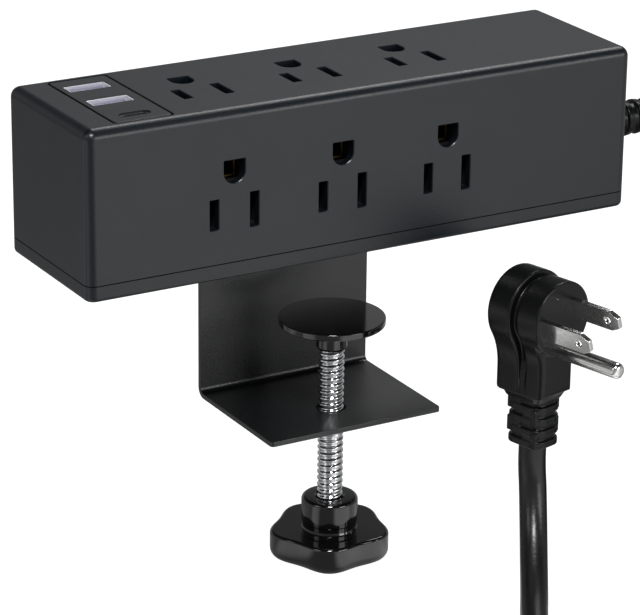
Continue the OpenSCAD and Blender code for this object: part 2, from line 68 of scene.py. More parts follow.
SHELL_LOW, SHELL_HIGH = cad_box("housing_shell")
COVER_LOW = cad_box("bottom_cover")[0]
PANEL_LOW, PANEL_HIGH = cad_box("usb_faceplate")
BRACKET_LOW, BRACKET_HIGH = cad_box("clamp_bracket")
PAD_LOW, PAD_HIGH = cad_box("pressure_pad")
HUB_LOW = cad_box("pad_hub")[0]
KNOB_HIGH = cad_box("clamp_knob")[1]
GRIP_LOW, GRIP_HIGH = cad_box("plug_strain_relief")
RELIEF_LOW, RELIEF_HIGH = cad_box("cord_strain_relief")
SCREW_X = (PAD_LOW.x + PAD_HIGH.x) / 2
SCREW_Y = (PAD_LOW.y + PAD_HIGH.y) / 2
SEAM = SHELL_LOW.z
FRONT, BACK, TOP = SHELL_LOW.y, SHELL_HIGH.y, SHELL_HIGH.z

# Outlets: the middle of each pair of blade slots
OUTLET_XS = [-43.64 + 34.75 * i for i in range(3)]
FRONT_SLOT_Z = COVER_LOW.z + 19.56
TOP_SLOT_Y = FRONT + 19.42
SLOT_X = 6.35
GROUND_UP = 11.9

# The cord: its line from the strip down to the coil, and from the coil up to the plug
CORD_D = 8.2
RUN_ROUTE = [
    (125.1, 12, 116), (134, 12, 115.6), (143, 12, 113.4), (151.4, 12, 109), (158.6, 12, 102.8),
    (164.6, 12, 95.2), (169.6, 11.9, 86.3), (173.8, 11.4, 77), (177.4, 10.4, 67.2), (180.8, 8.8, 57.4),
    (184.2, 6.2, 47.6), (187.8, 2, 38.4), (191.8, -4, 30.2), (196, -12, 23.6), (200.4, -21.6, 18.6),
    (204.4, -32.2, 15.2)]
RISE_ROUTE = [
    (172, -100.1, 4.6), (160, -106.2, 4.2), (147, -111.9, 4.1), (134, -116.9, 4.1), (121, -121.4, 4.1),
    (108, -125.5, 4.1), (95, -129.3, 4.1), (82, -132.8, 4.1), (69, -135.6, 4.1), (56, -137.2, 4.1),
    (43, -136.8, 4.1), (32.5, -132.9, 4.1), (23.5, -125.4, 4.1), (17.6, -115.2, 4.1),
    (15.5, -103.5, 4.1), (17, -93.2, 4.4), (21.3, -84.8, 6), (27, -75.8, 10), (32, -67.6, 16.4),
    (35.8, -61.1, 24.4), (38, -56.9, 33.4), (38.5, -55.3, 40.4), (38.5, -55.2, 47.5)]
# The coil: where its turns lie, across and up in turns of the cord, from the first turn to the last
COIL_AT = Vector((156, -50, 0))
COIL_R = 43
TURN_GAP = 8.3
COIL_LOW = 5
TURN_PLACES = [(1, 1), (0, 1), (-1, 1), (-1, 0), (0, 0), (1, 0)]
FIRST_HOLD, HOLD, SHIFT = 270, 240, 80
COIL_TURN = 1866.2
COIL_START = 7.4

# The plug's own frame: its blades point along -Y and its cord leaves along -Z
PLUG = Matrix.Translation((38.2, -54.6, 0)) @ Matrix.Rotation(math.radians(14.4), 4, "Z")
HEAD_Z = 88
FACE_Y, CAP_Y, CAP_DEPTH = -10.6, 8.4, 9.1
FACE_R, CAP_R, GROOVE_R = 11.2, 12.1, 9.8
FACE_NECK, CAP_NECK, GROOVE_NECK = 6.7, 7.3, 5.6
FACE_TURN = math.radians(-17)
GRIP_Y = -0.7
BLADE_LENGTH, PIN_LENGTH, PIN_R = 15.9, 19.1, 2.37


# ---------------------------------------------------------------- settings

class StripSizes(bpy.types.PropertyGroup):
    """Sizes of the mouldings, in millimetres."""

    edge_radius: FloatProperty(name="Edge radius", description="Radius of the housing's edges", default=3.0)
    wall: FloatProperty(name="Wall", description="Thickness of the housing's walls", default=2.4)
    slot_chamfer: FloatProperty(name="Slot chamfer", description="Chamfer round each opening", default=0.22)
    panel_gap: FloatProperty(name="Panel gap", description="Gap round the USB panel", default=0.6)


class ClampSizes(bpy.types.PropertyGroup):
    """Sizes of the clamp, in millimetres."""

    pitch: FloatProperty(name="Pitch", description="Rise of the screw's thread in one turn", default=2.0)
    crest: FloatProperty(name="Crest radius", description="Radius over the thread", default=3.88)
    root: FloatProperty(name="Root radius", description="Radius at the bottom of the thread", default=3.3)
    lobes: IntProperty(name="Lobes", description="Number of lobes on the knob", default=5)
    knob_edge: FloatProperty(name="Knob edge", description="Radius of the knob's lower edge", default=3.4)


class StripColours(bpy.types.PropertyGroup):
    """Colours of the mouldings and the plating."""

    housing: FloatVectorProperty(
        name="Housing", description="Satin moulded case", subtype="COLOR", size=3,
        default=(0.0025, 0.005, 0.0075))
    coating: FloatVectorProperty(
        name="Coating", description="Powder coat of the bracket", subtype="COLOR", size=3,
        default=(0.004, 0.005, 0.0055))
    gloss: FloatVectorProperty(
        name="Gloss black", description="Knob and pressure pad", subtype="COLOR", size=3,
        default=(0.0018, 0.0018, 0.002))
    vinyl: FloatVectorProperty(
        name="Vinyl", description="Plug and cord", subtype="COLOR", size=3,
        default=(0.003, 0.0032, 0.0034))
    tongue: FloatVectorProperty(
        name="USB tongue", description="Blue tongues of the USB-A ports", subtype="COLOR", size=3,
        default=(0.008, 0.014, 0.12))


# ---------------------------------------------------------------- mesh helpers

def quarter(axis):
    """A quarter turn about an axis."""
    return Matrix.Rotation(math.radians(90), 4, axis)


def on_axis(z=0):
    """A point on the clamp screw's axis."""
    return SCREW_X, SCREW_Y, z


def block(bm, low, high):
    """A box between two corners."""
    low, high = Vector(low), Vector(high)
    place = Matrix.Translation((low + high) / 2) @ Matrix.Diagonal((*(high - low), 1))
    return bmesh.ops.create_cube(bm, size=1, matrix=place)["verts"]


def rounded(points, closed=True, steps=6):
    """An outline through points (x, y, corner radius), with an arc at each corner."""
    line = []
    for i, (x, y, r) in enumerate(points):
        if r <= 0 or (not closed and i in (0, len(points) - 1)):
            line.append((x, y))
            continue
        corner = Vector((x, y))
        back = (Vector(points[i - 1][:2]) - corner).normalized()
        ahead = (Vector(points[(i + 1) % len(points)][:2]) - corner).normalized()
        half = back.angle(ahead) / 2
        middle = corner + (back + ahead).normalized() * (r / math.sin(half))
        first = corner + back * (r / math.tan(half)) - middle
        last = corner + ahead * (r / math.tan(half)) - middle
        start = math.atan2(first.y, first.x)
        sweep = (math.atan2(last.y, last.x) - start + math.pi) % (2 * math.pi) - math.pi
        for k in range(steps + 1):
            a = start + sweep * k / steps
            line.append((middle.x + r * math.cos(a), middle.y + r * math.sin(a)))
    return line


def round_rect(width, height, radius, steps=6):
    """A rectangle about the origin with four round corners."""
    w, h = width / 2, height / 2
    return rounded([(-w, -h, radius), (w, -h, radius), (w, h, radius), (-w, h, radius)], steps=steps)


def prism(bm, outline, place, depth):
    """An outline in place's XY plane, drawn out along its Z. Returns the far face's vertices."""
    face = bm.faces.new([bm.verts.new(place @ Vector((x, y, 0))) for x, y in outline])
    grown = bmesh.ops.extrude_face_region(bm, geom=[face])["geom"]
    far = [v for v in grown if isinstance(v, bmesh.types.BMVert)]
    bmesh.ops.translate(bm, vec=place.to_3x3() @ Vector((0, 0, depth)), verts=far)
    return far


def turned(bm, profile, centre, axis=(0, 0, 1), steps=72):
    """A profile of (radius, height) spun into a closed form about an upright axis through centre."""
    turn = Vector((0, 0, 1)).rotation_difference(Vector(axis)).to_matrix().to_4x4()
    place = Matrix.Translation(centre) @ turn
    verts = [bm.verts.new(place @ Vector((r, 0, z))) for r, z in profile]
    edges = [bm.edges.new(pair) for pair in zip(verts, verts[1:])]
    bmesh.ops.spin(bm, geom=verts + edges, cent=centre, axis=axis, angle=2 * math.pi, steps=steps,
                   use_merge=True)
    bmesh.ops.remove_doubles(bm, verts=bm.verts[:], dist=0.0005)


def lathed(bm, points, centre, arc_steps, steps):
    """A profile of (radius, height, corner radius) spun into a closed form about an upright axis."""
    turned(bm, rounded(points, closed=False, steps=arc_steps), centre, steps=steps)


def soften(bm, edges, radius, segments=3):
    """Rounds edges."""
    bmesh.ops.bevel(bm, geom=list(edges), offset=radius, offset_type="OFFSET", affect="EDGES",
                    segments=segments, profile=0.5, material=-1, clamp_overlap=True)


def edges_where(bm, test):
    """The edges whose two ends both pass a test."""
    return [e for e in bm.edges if all(test(v.co) for v in e.verts)]


def edges_of(bm, verts):
    """The edges whose two ends are both among some vertices."""
    return [e for e in bm.edges if all(v in verts for v in e.verts)]


def sharp_edges(bm, angle=1.0):
    """The edges whose faces meet at more than an angle, in radians."""
    return [e for e in bm.edges if e.calc_face_angle(0) > angle]


def cut_off(bm, height, side):
    """Cuts the form level at a height: side 1 drops what is above, -1 what is below."""
    parts = bm.verts[:] + bm.edges[:] + bm.faces[:]
    return bmesh.ops.bisect_plane(bm, geom=parts, plane_co=(0, 0, height), plane_no=(0, 0, side),
                                  clear_outer=True)["geom_cut"]


def join(bm, other):
    """Adds another mesh's form to the first."""
    scrap = bpy.data.meshes.new("joined")
    other.to_mesh(scrap)
    other.free()
    bm.from_mesh(scrap)
    bpy.data.meshes.remove(scrap)


def moved(bm, place):
    """Moves the whole form."""
    bmesh.ops.transform(bm, matrix=place, verts=bm.verts[:])


def through_modifiers(bm, *settings):
    """The mesh with modifiers applied, as a new bmesh. Each setting is (type, {name: value})."""
    mesh = bpy.data.meshes.new("bench")
    bm.to_mesh(mesh)
    bm.free()
    bench = bpy.data.objects.new("bench", mesh)
    bpy.context.scene.collection.objects.link(bench)
    for kind, values in settings:
        modifier = bench.modifiers.new(kind.title(), kind)
        for name, value in values.items():
            setattr(modifier, name, value)
    done = bpy.data.meshes.new_from_object(bench.evaluated_get(bpy.context.evaluated_depsgraph_get()))
    result = bmesh.new()
    result.from_mesh(done)
    bpy.data.objects.remove(bench)
    bpy.data.meshes.remove(mesh)
    bpy.data.meshes.remove(done)
    return result


def walled(bm, wall):
    """An open skin given a wall on its inner side, as a new bmesh."""
    return through_modifiers(bm, ("SOLIDIFY", {"thickness": wall, "offset": -1, "use_even_offset": True}))


def fused(bm, voxel, rounds):
    """Overlapping forms made one skin with softened joints, as a new bmesh."""
    bmesh.ops.recalc_face_normals(bm, faces=bm.faces[:])
    return through_modifiers(
        bm, ("REMESH", {"mode": "VOXEL", "voxel_size": voxel, "use_smooth_shade": True}),
        ("SMOOTH", {"factor": 0.5, "iterations": rounds}))


def carved(bm, cutter):
    """The mesh less the cutter, as a new bmesh."""
    bmesh.ops.recalc_face_normals(cutter, faces=cutter.faces[:])
    mesh = bpy.data.meshes.new("cutter")
    cutter.to_mesh(mesh)
    cutter.free()
    tool = bpy.data.objects.new("cutter", mesh)
    bpy.context.scene.collection.objects.link(tool)
    result = through_modifiers(
        bm, ("BOOLEAN", {"object": tool, "operation": "DIFFERENCE", "solver": "EXACT"}))
    bpy.data.objects.remove(tool)
    bpy.data.meshes.remove(mesh)
    return result


def flared(bm, outline, place, depth, chamfer):
    """A cutter for an opening with a chamfered mouth: place's Z points out of the surface."""
    xs = [x for x, _ in outline]
    ys = [y for _, y in outline]
    centre = Vector(((min(xs) + max(xs)) / 2, (min(ys) + max(ys)) / 2, 0))
    grow = (1 + 2 * chamfer / (max(xs) - min(xs)), 1 + 2 * chamfer / (max(ys) - min(ys)), 1)
    mouth = prism(bm, outline, place @ Matrix.Translation((0, 0, -depth)), depth - chamfer)
    local = place @ Matrix.Translation(centre)
    for rise, factor in ((chamfer, grow), (1, (1, 1, 1))):
        top = [f for f in bm.faces if all(v in mouth for v in f.verts)]
        grown = bmesh.ops.extrude_face_region(bm, geom=top)["geom"]
        bmesh.ops.delete(bm, geom=top, context="FACES_ONLY")
        mouth = [v for v in grown if isinstance(v, bmesh.types.BMVert)]
        bmesh.ops.translate(bm, vec=place.to_3x3() @ Vector((0, 0, rise)), verts=mouth)
        bmesh.ops.scale(bm, vec=factor, space=local.inverted(), verts=mouth)


def piece(bm, name, material, nodes, body, sharp=32):
    """Makes the finished object, in metres, in place of its CAD nodes."""
    bmesh.ops.recalc_face_normals(bm, faces=bm.faces[:])
    bmesh.ops.scale(bm, vec=(MM, MM, MM), verts=bm.verts[:])
    mesh = bpy.data.meshes.new(name)
    bm.to_mesh(mesh)
    bm.free()
    mesh.shade_smooth()
    mesh.set_sharp_from_angle(angle=math.radians(sharp))
    mesh.materials.append(material)
    obj = bpy.data.objects.new(name, mesh)
    bpy.context.scene.collection.objects.link(obj)
    weighted = obj.modifiers.new("Even shading", "WEIGHTED_NORMAL")
    weighted.keep_sharp = True
    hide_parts(*nodes)
    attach(obj, body)
    return obj


# ---------------------------------------------------------------- shader groups

def shader_group(name, inputs, outputs):
    """A new node group with named value inputs and outputs, and its two end nodes."""
    group = bpy.data.node_groups.new(name, "ShaderNodeTree")
    for label, kind, value in inputs:
        socket = group.interface.new_socket(label, in_out="INPUT", socket_type=kind)
        if value is not None:
            socket.default_value = value
    for label, kind in outputs:
        group.interface.new_socket(label, in_out="OUTPUT", socket_type=kind)
    return group, group.nodes.new("NodeGroupInput"), group.nodes.new("NodeGroupOutput")


def wired(tree, kind, links=(), **values):
    """A node with its properties set, and its inputs linked or set."""
    node = tree.nodes.new(kind)
    for key, value in values.items():
        setattr(node, key, value)
    for key, value in dict(links).items():
        if isinstance(value, bpy.types.NodeSocket):
            tree.links.new(value, node.inputs[key])
        else:
            node.inputs[key].default_value = value
    return node


def reckoned(tree, operation, first, second):
    """The result of a maths node on two sockets or values."""
    return wired(tree, "ShaderNodeMath", {0: first, 1: second}, operation=operation).outputs[0]


def remapped(tree, value, start, end, low=0.0, high=1.0):
    """A value carried from the range start to end into the range low to high."""
    return wired(tree, "ShaderNodeMapRange", {
        "Value": value, "From Min": start, "From Max": end, "To Min": low, "To Max": high}).outputs[0]


def noise(tree, where, scale, detail, rough=0.5):
    """Cloudy noise between 0 and 1."""
    return wired(tree, "ShaderNodeTexNoise", {
        "Vector": where, "Scale": scale, "Detail": detail, "Roughness": rough}).outputs["Fac"]


def grain_group():
    """Fine moulded texture: height for the bump, and two slow masks for tone and gloss."""
    group, start, end = shader_group(
        "moulded_grain",
        [("Vector", "NodeSocketVector", None), ("Scale", "NodeSocketFloat", 2500),
         ("Patch", "NodeSocketFloat", 60)],
        [("Height", "NodeSocketFloat"), ("Tone", "NodeSocketFloat"), ("Gloss", "NodeSocketFloat")])
    place, scale, patch = start.outputs["Vector"], start.outputs["Scale"], start.outputs["Patch"]
    fine = noise(group, place, scale, 3.0, 0.6)
    pits = wired(group, "ShaderNodeTexVoronoi", {"Vector": place, "Scale": scale}, feature="SMOOTH_F1")
    shift = wired(group, "ShaderNodeVectorMath", {0: place, 1: (7.3, 2.1, 4.7)}, operation="ADD")
    group.links.new(reckoned(group, "ADD", fine, pits.outputs["Distance"]), end.inputs["Height"])
    group.links.new(noise(group, place, patch, 4.0, 0.55), end.inputs["Tone"])
    group.links.new(noise(group, shift.outputs[0], patch, 6.0), end.inputs["Gloss"])
    return group


def edge_wear_and_highlight_group():
    """A mask that is 1 along sharp outer edges, broken up by noise: partly rubbed wear, partly a painted
    edge highlight.
    """
    group, start, end = shader_group(
        "edge_wear_and_highlight",
        [("Vector", "NodeSocketVector", None), ("Width", "NodeSocketFloat", 0.0004),
         ("Amount", "NodeSocketFloat", 1)],
        [("Mask", "NodeSocketFloat")])
    bevel = wired(group, "ShaderNodeBevel", {"Radius": start.outputs["Width"]}, samples=4)
    geometry = wired(group, "ShaderNodeNewGeometry")
    turn = wired(group, "ShaderNodeVectorMath", {0: bevel.outputs[0], 1: geometry.outputs["Normal"]},
                 operation="DOT_PRODUCT")
    edge = remapped(group, turn.outputs["Value"], 0.99, 0.8)
    patchy = remapped(group, noise(group, start.outputs["Vector"], 420.0, 5.0), 0.42, 0.66)
    both = reckoned(group, "MULTIPLY", edge, patchy)
    mask = reckoned(group, "MULTIPLY", both, start.outputs["Amount"])
    group.links.new(mask, end.inputs["Mask"])
    return group


def brushed_group():
    """Fine parallel scratches along the group's X direction."""
    group, start, end = shader_group(
        "drawn_metal",
        [("Vector", "NodeSocketVector", None), ("Scale", "NodeSocketFloat", 900)],
        [("Height", "NodeSocketFloat"), ("Gloss", "NodeSocketFloat")])
    stretch = wired(group, "ShaderNodeVectorMath", {0: start.outputs["Vector"], 1: (0.06, 1, 1)},
                    operation="MULTIPLY")
    lines = noise(group, stretch.outputs[0], start.outputs["Scale"], 4.0, 0.7)
    group.links.new(lines, end.inputs["Height"])
    group.links.new(lines, end.inputs["Gloss"])
    return group


def weave_group():
    """Over-and-under threads of a woven strap."""
    group, start, end = shader_group(
        "strap_weave", [("Vector", "NodeSocketVector", None), ("Scale", "NodeSocketFloat", 1400)],
        [("Height", "NodeSocketFloat")])
    thread_at = {"Vector": start.outputs["Vector"], "Scale": start.outputs["Scale"]}
    waves = [wired(group, "ShaderNodeTexWave", thread_at, bands_direction=d) for d in ("X", "Z")]
    threads = reckoned(group, "MAXIMUM", *(wave.outputs["Fac"] for wave in waves))
    group.links.new(threads, end.inputs["Height"])
    return group


GROUP_MAKERS = {"grain": grain_group, "wear": edge_wear_and_highlight_group, "brushed": brushed_group, "weave": weave_group}
GROUPS = {}


def placed(tree, name, where):
    """A shader group's node on the object coordinates. The group is built the first time."""
    if name not in GROUPS:
        GROUPS[name] = GROUP_MAKERS[name]()
    node = wired(tree, "ShaderNodeGroup", node_tree=GROUPS[name])
    tree.links.new(where, node.inputs["Vector"])
    return node


# ---------------------------------------------------------------- materials

def blank(name):
    """A material with only its Principled shader, and the object coordinates."""
    material = bpy.data.materials.new(name)
    material.use_nodes = True
    tree = material.node_tree
    shader = tree.nodes["Principled BSDF"]
    where = wired(tree, "ShaderNodeTexCoord").outputs["Object"]
    return material, tree, shader, where


def mixed(tree, mask, first, second):
    """A colour that goes from first to second with the mask."""
    mix = wired(tree, "ShaderNodeMix", data_type="RGBA")
    tree.links.new(mask, mix.inputs[0])
    for index, colour in ((6, first), (7, second)):
        if isinstance(colour, bpy.types.NodeSocket):
            tree.links.new(colour, mix.inputs[index])
        else:
            mix.inputs[index].default_value = (*colour, 1)
    return mix.outputs[2]


def bumped(tree, shader, height, depth, strength):
    """Raises a height over the surface, by depth in metres."""
    bump = wired(tree, "ShaderNodeBump", {"Height": height, "Distance": depth, "Strength": strength})
    tree.links.new(bump.outputs[0], shader.inputs["Normal"])


def moulded(name, colour, rough, spread=0.08, scale=2500, depth=0.00004, tone=0.25, specular=0.5, wear=0.0,
            coat=0.0):
    """A moulded or coated surface: fine grain, slow changes of tone and gloss, and lighter edges that are
    partly rubbed wear and partly a painted highlight.
    """
    material, tree, shader, where = blank(name)
    grain = placed(tree, "grain", where)
    grain.inputs["Scale"].default_value = scale
    light = [c * (1 + tone) + 0.001 for c in colour]
    dark = [c * (1 - tone) for c in colour]
    paint = mixed(tree, grain.outputs["Tone"], dark, light)
    sheen = remapped(tree, grain.outputs["Gloss"], 0.3, 0.7, rough - spread, rough + spread)
    # wear lightens the edges in the base colour: partly rubbed wear, partly a painted edge highlight
    if wear:
        rub_and_highlight = placed(tree, "wear", where)
        rub_and_highlight.inputs["Amount"].default_value = wear
        paint = mixed(tree, rub_and_highlight.outputs["Mask"], paint, [c * 2.2 + 0.012 for c in colour])
    tree.links.new(paint, shader.inputs["Base Color"])
    tree.links.new(sheen, shader.inputs["Roughness"])
    bumped(tree, shader, grain.outputs["Height"], depth, 0.6)
    shader.inputs["Specular IOR Level"].default_value = specular
    shader.inputs["Coat Weight"].default_value = coat
    shader.inputs["Coat Roughness"].default_value = 0.08
    return material


def plated(name, colour, rough, wear=0.3, metal=1.0):
    """Bright metal with drawn lines and a little tarnish."""
    material, tree, shader, where = blank(name)
    lines = placed(tree, "brushed", where)
    grain = placed(tree, "grain", where)
    grain.inputs["Patch"].default_value = 180
    tarnish = remapped(tree, grain.outputs["Tone"], 0.45, 0.75, high=wear)
    tree.links.new(mixed(tree, tarnish, colour, [c * 0.6 for c in colour]), shader.inputs["Base Color"])
    sheen = remapped(tree, lines.outputs["Gloss"], 0.3, 0.7, rough * 0.7, rough * 1.4)
    tree.links.new(sheen, shader.inputs["Roughness"])
    bumped(tree, shader, lines.outputs["Height"], 0.00001, 0.5)
    shader.inputs["Metallic"].default_value = metal
    return material


def woven(name, colour, rough):
    """A woven hook-and-loop strap."""
    material, tree, shader, where = blank(name)
    threads = placed(tree, "weave", where)
    height = threads.outputs["Height"]
    cloth = mixed(tree, height, [c * 0.5 for c in colour], [c * 1.6 for c in colour])
    tree.links.new(cloth, shader.inputs["Base Color"])
    bumped(tree, shader, height, 0.0002, 0.8)
    shader.inputs["Roughness"].default_value = rough
    shader.inputs["Sheen Weight"].default_value = 0.4
    return material


FINISHES = {}


def recipes(colours):
    """Each finish: the function that makes it, its colour and roughness, and what else it is given."""
    trim = [c * 0.9 for c in colours.housing]
    # for the moulded finishes wear sets how far the edges are lightened, partly rubbed wear and partly a
    # painted highlight; for the plated ones it sets the tarnish
    return {
        "housing_satin": (moulded, colours.housing, 0.34, {"spread": 0.03, "wear": 0.12}),
        "cover_satin": (moulded, trim, 0.34, {"spread": 0.03, "wear": 0.12}),
        "panel_satin": (moulded, trim, 0.34, {"spread": 0.03, "wear": 0.1}),
        "powder_coat": (moulded, colours.coating, 0.34,
                        {"spread": 0.04, "scale": 1500, "wear": 0.3, "specular": 0.75}),
        "gloss_black": (moulded, colours.gloss, 0.1,
                        {"spread": 0.04, "depth": 0.000006, "wear": 0.15, "coat": 0.6}),
        "vinyl": (moulded, colours.vinyl, 0.28,
                  {"spread": 0.04, "scale": 1800, "tone": 0.3, "specular": 0.26}),
        "jacket": (moulded, colours.vinyl, 0.36, {"scale": 1200, "depth": 0.00005, "tone": 0.3}),
        "socket_black": (moulded, (0.002, 0.002, 0.002), 0.7, {}),
        "board_green": (moulded, (0.01, 0.07, 0.03), 0.35, {"scale": 600}),
        "tape_yellow": (moulded, (0.5, 0.36, 0.05), 0.4, {"scale": 400}),
        "wire_black": (moulded, (0.01, 0.01, 0.01), 0.4, {}),
        "wire_white": (moulded, (0.6, 0.6, 0.58), 0.4, {}),
        "wire_green": (moulded, (0.01, 0.2, 0.05), 0.4, {}),
        "tongue_blue": (moulded, colours.tongue, 0.35, {"scale": 3000}),
        "chrome": (plated, (0.82, 0.83, 0.85), 0.12, {"wear": 0.2}),
        "nickel": (plated, (0.74, 0.74, 0.73), 0.2, {}),
        "zinc": (plated, (0.6, 0.61, 0.63), 0.3, {"wear": 0.5}),
        "port_steel": (plated, (0.92, 0.93, 0.98), 0.34, {"wear": 0.1, "metal": 0.65}),
        "contact_brass": (plated, (0.2, 0.13, 0.05), 0.45, {"wear": 0.9}),
        "strap": (woven, (0.012, 0.012, 0.013), 0.85, {}),
    }


def finish(name):
    """The material of that name, made the first time it is asked for."""
    if name not in FINISHES:
        maker, colour, rough, options = recipes(bpy.context.scene.strip_colours)[name]
        FINISHES[name] = maker(name, colour, rough, **options)
    return FINISHES[name]


# The frame's own pieces that each finish is given
CARRIED = {
    "board_green": ["usb_circuit_board"],
    "tape_yellow": ["usb_transformer"],
    "gloss_black": ["usb_capacitors"],
    "socket_black": ["usb_c_tongue", "front_socket_block", "top_socket_block", "cord_clamp"],
    "contact_brass": [f"{row}_{pole}_contacts" for row in ("front", "top")
                      for pole in ("line", "neutral", "ground")],
    "wire_black": ["line_wire"],
    "wire_white": ["neutral_wire"],
    "wire_green": ["ground_wire"],
    "jacket": ["cord_inner_end"],
    "zinc": ["usb_c_shell", "cord_clamp_screws", "cover_screws", "bracket_screws", "weld_nut",
             "screw_tip_head"],
}


# ---------------------------------------------------------------- stage

CAMERA_AT = (-0.44527, -0.76425, 0.41210)
CAMERA_TURN, CAMERA_TILT, CAMERA_ROLL = 30.15, 20.73, 0.68
CAMERA_LENS = 180.16

# Each light's place, its width and height, and its power in watts
LIGHTS = {
    "back softbox": ((0.75, 0.62, 1.2), (0.9, 0.35), 7),
    "front softbox": ((0.75, -1.35, 0.55), (0.9, 0.5), 7),
    "left softbox": ((-1.3, -0.1, 0.9), (0.5, 0.6), 2),
    "key": ((-0.4, -0.8, 1.3), (0.3, 0.3), 18),
}
LIT_POINT = (0, 0, 0.1)

# What the object reflects. Floor: (part of a turn from -X, anticlockwise; grey). Studio: (height; grey)
FLOOR_GLOW = [(0, 0.75), (0.06, 0.65), (0.085, 0.02), (0.205, 0.02), (0.235, 1), (0.36, 0.9), (0.395, 0.3),
              (0.5, 0.25), (0.7, 0.3), (0.8, 0.1), (0.88, 0.06), (0.93, 0.6), (1, 0.75)]
STUDIO_GLOW = [(0, 0.33), (0.34, 0.33), (0.44, 0.05), (1, 0.02)]
# Where the floor's glow is shaded: (metres back from the origin, plus SHADE_SHIFT; part left),
# and (metres from the origin; part left)
SHADE_SHIFT = 0.5
SHADE_BEHIND = [(0.499, 1), (0.502, 0.05), (0.56, 0.1), (0.6, 1)]
SHADE_BELOW = [(0.021, 0), (0.028, 1)]
DEEP_SHADE = (0.03, 0.03, 0.03)


def ramp(tree, value, stops):
    """A grey that follows a value through stops of (value, grey)."""
    node = wired(tree, "ShaderNodeValToRGB", {"Fac": value})
    elements = node.color_ramp.elements
    while len(elements) < len(stops):
        elements.new(0.5)
    for element, (at, grey) in zip(elements, stops):
        element.position, element.color = at, (grey, grey, grey, 1)
    return node.outputs["Color"]


def area_light(name, at, size, power):
    """A soft rectangular light that faces the object."""
    lamp = bpy.data.lights.new(name, "AREA")
    lamp.shape = "RECTANGLE"
    lamp.size, lamp.size_y = size
    lamp.energy = power
    light = bpy.data.objects.new(name, lamp)
    light.location = at
    light.rotation_mode = "QUATERNION"
    light.rotation_quaternion = (Vector(LIT_POINT) - Vector(at)).to_track_quat("-Z", "Y")
    bpy.context.scene.collection.objects.link(light)


class STRIP_OT_stage(bpy.types.Operator):
    """Sets up the camera, the soft lights and the pale floor"""

    bl_idname = "powerstrip.stage"
    bl_label = "Stage"

    def floor(self, scene):
        """A floor that the camera sees white, and whose glow in reflections changes with direction."""
        bm = bmesh.new()
        bmesh.ops.create_grid(bm, x_segments=1, y_segments=1, size=4)
        mesh = bpy.data.meshes.new("floor")
        bm.to_mesh(mesh)
        bm.free()
        floor = bpy.data.objects.new("floor", mesh)
        paper, tree, shader, where = blank("paper")
        shader.inputs["Base Color"].default_value = (0.25, 0.25, 0.25, 1)
        shader.inputs["Roughness"].default_value = 0.9
        shader.inputs["Specular IOR Level"].default_value = 0
        round_about = wired(tree, "ShaderNodeTexGradient", {"Vector": where}, gradient_type="RADIAL")
        glow = ramp(tree, round_about.outputs["Fac"], FLOOR_GLOW)
        back = wired(tree, "ShaderNodeSeparateXYZ", {0: where}).outputs["Y"]
        behind = ramp(tree, reckoned(tree, "ADD", back, SHADE_SHIFT), SHADE_BEHIND)
        out = wired(tree, "ShaderNodeVectorMath", {0: where}, operation="LENGTH").outputs["Value"]
        shade = reckoned(tree, "MULTIPLY", behind, ramp(tree, out, SHADE_BELOW))
        glow = mixed(tree, shade, DEEP_SHADE, glow)
        seen = wired(tree, "ShaderNodeLightPath").outputs["Is Camera Ray"]
        tree.links.new(mixed(tree, seen, glow, (1, 1, 1)), shader.inputs["Emission Color"])
        shader.inputs["Emission Strength"].default_value = 1
        mesh.materials.append(paper)
        scene.collection.objects.link(floor)

    def world(self, scene):
        """A studio that is pale round its walls and dark overhead."""
        world = bpy.data.worlds.new("studio")
        world.use_nodes = True
        tree = world.node_tree
        where = wired(tree, "ShaderNodeTexCoord").outputs["Generated"]
        height = wired(tree, "ShaderNodeSeparateXYZ", {0: where}).outputs["Z"]
        background = tree.nodes["Background"]
        tree.links.new(ramp(tree, height, STUDIO_GLOW), background.inputs["Color"])
        background.inputs["Strength"].default_value = 1
        scene.world = world

    def execute(self, context):
        scene = context.scene
        camera = bpy.data.cameras.new("camera")
        camera.lens, camera.sensor_width = CAMERA_LENS, 36
        camera.clip_start, camera.clip_end = 0.05, 20
        holder = bpy.data.objects.new("camera", camera)
        turn = (Matrix.Rotation(-math.radians(CAMERA_TURN), 4, "Z")
                @ Matrix.Rotation(math.radians(90 - CAMERA_TILT), 4, "X")
                @ Matrix.Rotation(math.radians(CAMERA_ROLL), 4, "Z"))
        holder.matrix_world = Matrix.Translation(CAMERA_AT) @ turn
        scene.collection.objects.link(holder)
        scene.camera = holder

        self.floor(scene)
        self.world(scene)
        scene.view_settings.view_transform = "Standard"
        for name, (at, size, power) in LIGHTS.items():
            area_light(name, at, size, power)
        return {"FINISHED"}


# ---------------------------------------------------------------- cord

def coil_route():
    """Points round the coil, from where the cord from the strip joins it."""
    steps = round(COIL_TURN / 18)
    route = []
    for k in range(steps + 1):
        angle = COIL_TURN * k / steps
        along = (angle - FIRST_HOLD) / (HOLD + SHIFT)
        turn = max(0, min(len(TURN_PLACES) - 2, math.floor(along)))
        moved_on = max(0, min(1, (angle - FIRST_HOLD - turn * (HOLD + SHIFT)) / SHIFT))
        t = moved_on * moved_on * (3 - 2 * moved_on)
        across, up = Vector(TURN_PLACES[turn]).lerp(Vector(TURN_PLACES[turn + 1]), t)
        r, z = COIL_R + across * TURN_GAP, COIL_LOW + up * TURN_GAP
        a = math.radians(COIL_START - angle)
        route.append((COIL_AT.x + r * math.cos(a), COIL_AT.y + r * math.sin(a), z))
    return route


